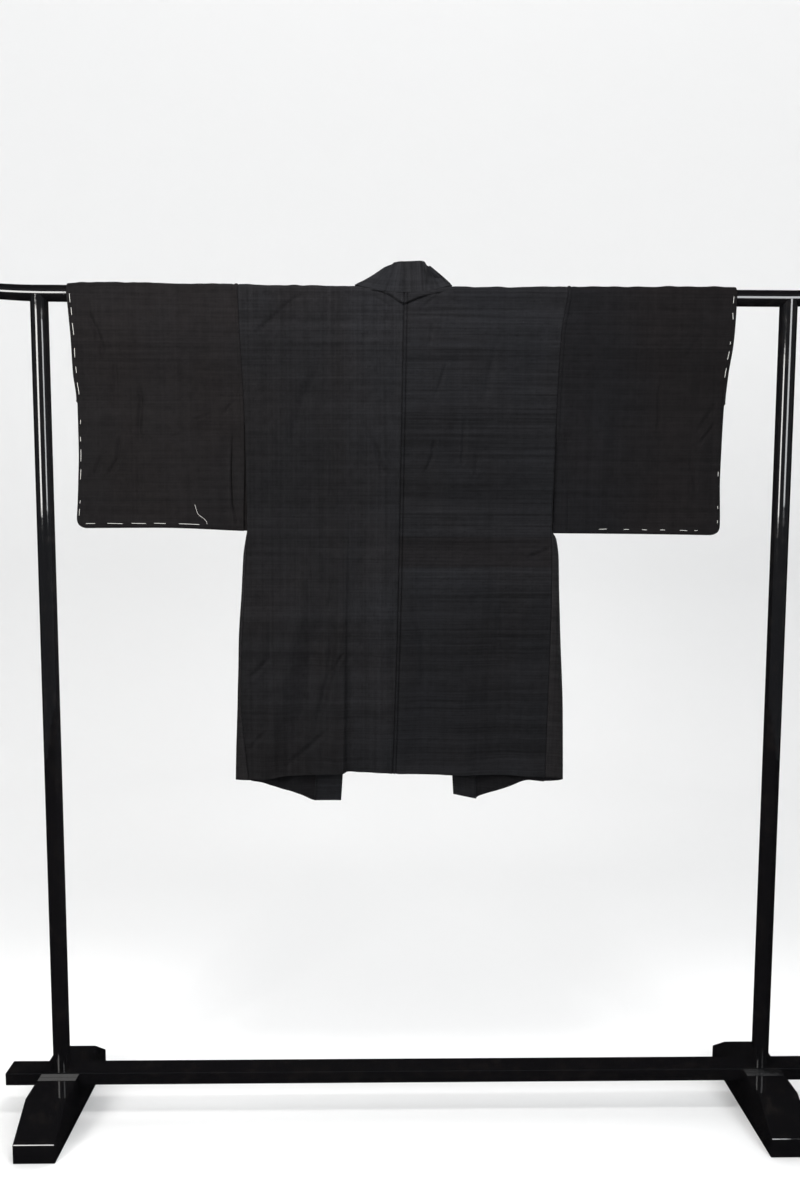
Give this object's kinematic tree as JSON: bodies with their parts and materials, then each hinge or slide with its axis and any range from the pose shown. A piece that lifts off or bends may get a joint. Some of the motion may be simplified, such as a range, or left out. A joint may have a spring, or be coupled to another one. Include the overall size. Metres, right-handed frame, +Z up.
{
  "type": "haori jacket on a kimono stand",
  "caption": "Plain charcoal haori hung by its shoulders over the rail of a black lacquered kimono stand, back outward, sleeves spread, fronts open.",
  "frame": {"origin": "on the floor under the middle of the rail", "axes": "+Z up, +X along the rail, -Y towards the back of the haori"},
  "size_m": [1.7126, 0.313, 1.7114],
  "materials": {
    "silk": "matt slubbed tsumugi silk, charcoal black with warm and cool weft bands",
    "collar_silk": "the same silk, doubled along the collar band",
    "lacquer": "high gloss black lacquer over turned and planed wood"
  },
  "bodies": {
    "root": {"body_left": "silk", "body_right": "silk", "gusset_left": "silk", "gusset_right": "silk", "sleeve_left": "silk", "sleeve_right": "silk", "collar": "collar_silk", "rail": "lacquer", "post_left": "lacquer", "post_right": "lacquer", "base_bar": "lacquer", "foot_left": "lacquer", "foot_right": "lacquer"}
  },
  "joints": []
}
